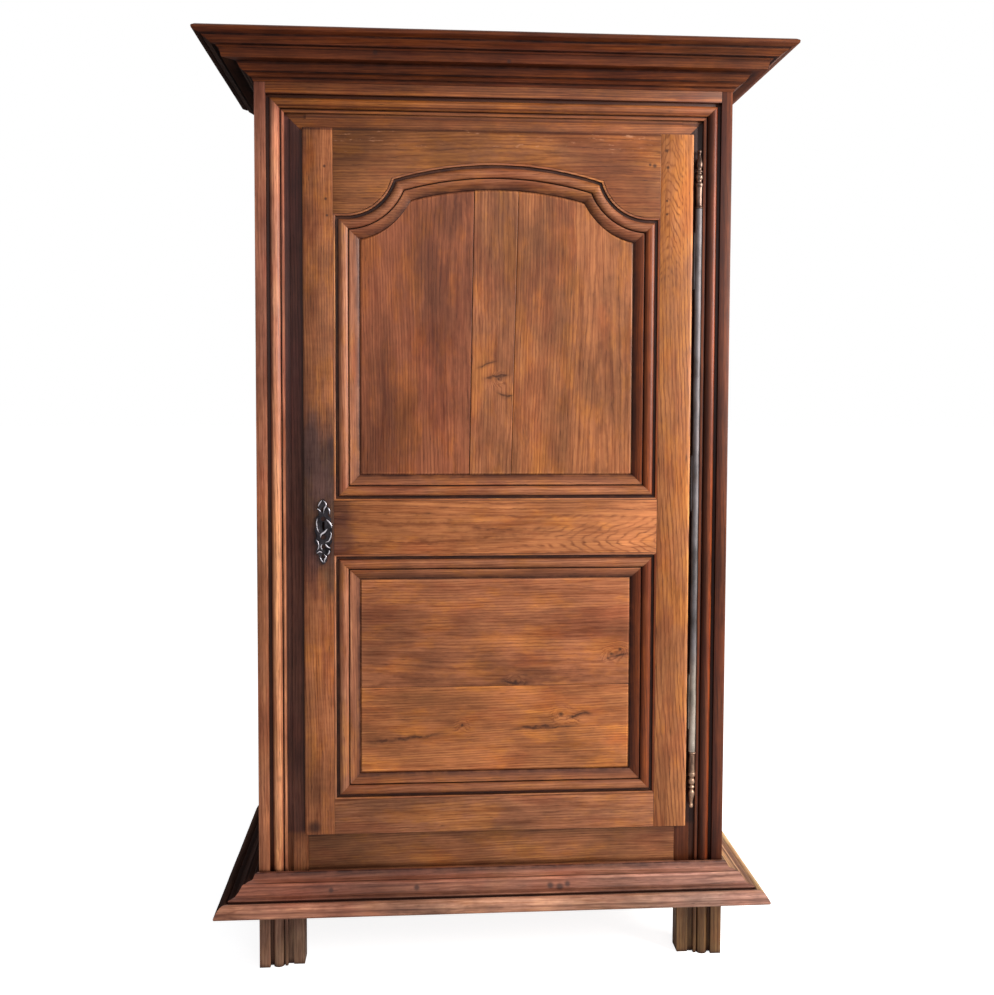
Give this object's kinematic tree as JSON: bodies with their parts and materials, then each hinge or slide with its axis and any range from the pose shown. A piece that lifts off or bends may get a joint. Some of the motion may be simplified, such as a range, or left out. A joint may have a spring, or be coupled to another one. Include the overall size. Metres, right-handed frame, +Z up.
{
  "type": "one-door cupboard",
  "caption": "Tall oak bonnet cupboard with a moulded cornice and base, and one panelled door with an arched upper panel, a barrel hinge and a lock.",
  "frame": {"origin": "on the floor, under the middle of the cornice", "axes": "+Z up, the door faces -Y, the hinge is on the +X side"},
  "size_m": [1.21, 0.52, 1.95],
  "materials": {
    "oak": "waxed, worn satin",
    "oak_panel": "waxed, worn satin",
    "oak_inside": "plain, unpolished",
    "iron": "blackened, polished high spots",
    "steel": "bright, slightly tarnished"
  },
  "bodies": {
    "carcase": {"post_front_left": "oak", "post_front_right": "oak", "post_rear_left": "oak", "rail_side_bottom_left": "oak", "rail_side_middle_left": "oak", "rail_side_top_left": "oak", "panel_side_lower_left": "oak_panel", "panel_side_upper_left": "oak_panel", "cornice_left": "oak", "base_left": "oak", "cleat_1_left": "oak_inside", "cleat_2_left": "oak_inside", "post_rear_right": "oak", "rail_side_bottom_right": "oak", "rail_side_middle_right": "oak", "rail_side_top_right": "oak", "panel_side_lower_right": "oak_panel", "panel_side_upper_right": "oak_panel", "cornice_right": "oak", "base_right": "oak", "cleat_1_right": "oak_inside", "cleat_2_right": "oak_inside", "rail_front_top": "oak", "rail_front_bottom": "oak", "rail_rear_bottom": "oak_inside", "rail_rear_middle": "oak_inside", "rail_rear_top": "oak_inside", "panel_back_lower": "oak_inside", "panel_back_upper": "oak_inside", "board_floor": "oak_inside", "board_top": "oak_inside", "shelf_1": "oak_inside", "shelf_2": "oak_inside", "cornice_front": "oak", "base_front": "oak", "hinge_pin": "steel", "hinge_knuckle_top": "steel", "hinge_knuckle_bottom": "steel", "lock_keeper": "iron"},
    "door": {"door_stile_lock": "oak", "door_stile_hinge": "oak", "door_rail_bottom": "oak", "door_rail_middle": "oak", "door_rail_top": "oak", "frame_upper_left": "oak", "frame_lower_left": "oak", "frame_upper_right": "oak", "frame_lower_right": "oak", "frame_upper_arch": "oak", "frame_upper_bottom": "oak", "frame_lower_top": "oak", "frame_lower_bottom": "oak", "door_panel_upper": "oak_panel", "door_panel_lower": "oak_panel", "hinge_barrel": "steel", "keyhole_plate": "iron", "lock_case": "iron"},
    "bolt": {"lock_bolt": "iron"}
  },
  "joints": [
    {"name": "door_hinge", "type": "hinge", "parent": "carcase", "child": "door", "pos_m": [0.4325, -0.155, 1], "axis": [0, 0, 1], "range_deg": [0, 158]},
    {"name": "bolt_slide", "type": "slide", "parent": "door", "child": "bolt", "axis": [-1, 0, 0], "range_m": [0, 0.014]}
  ]
}
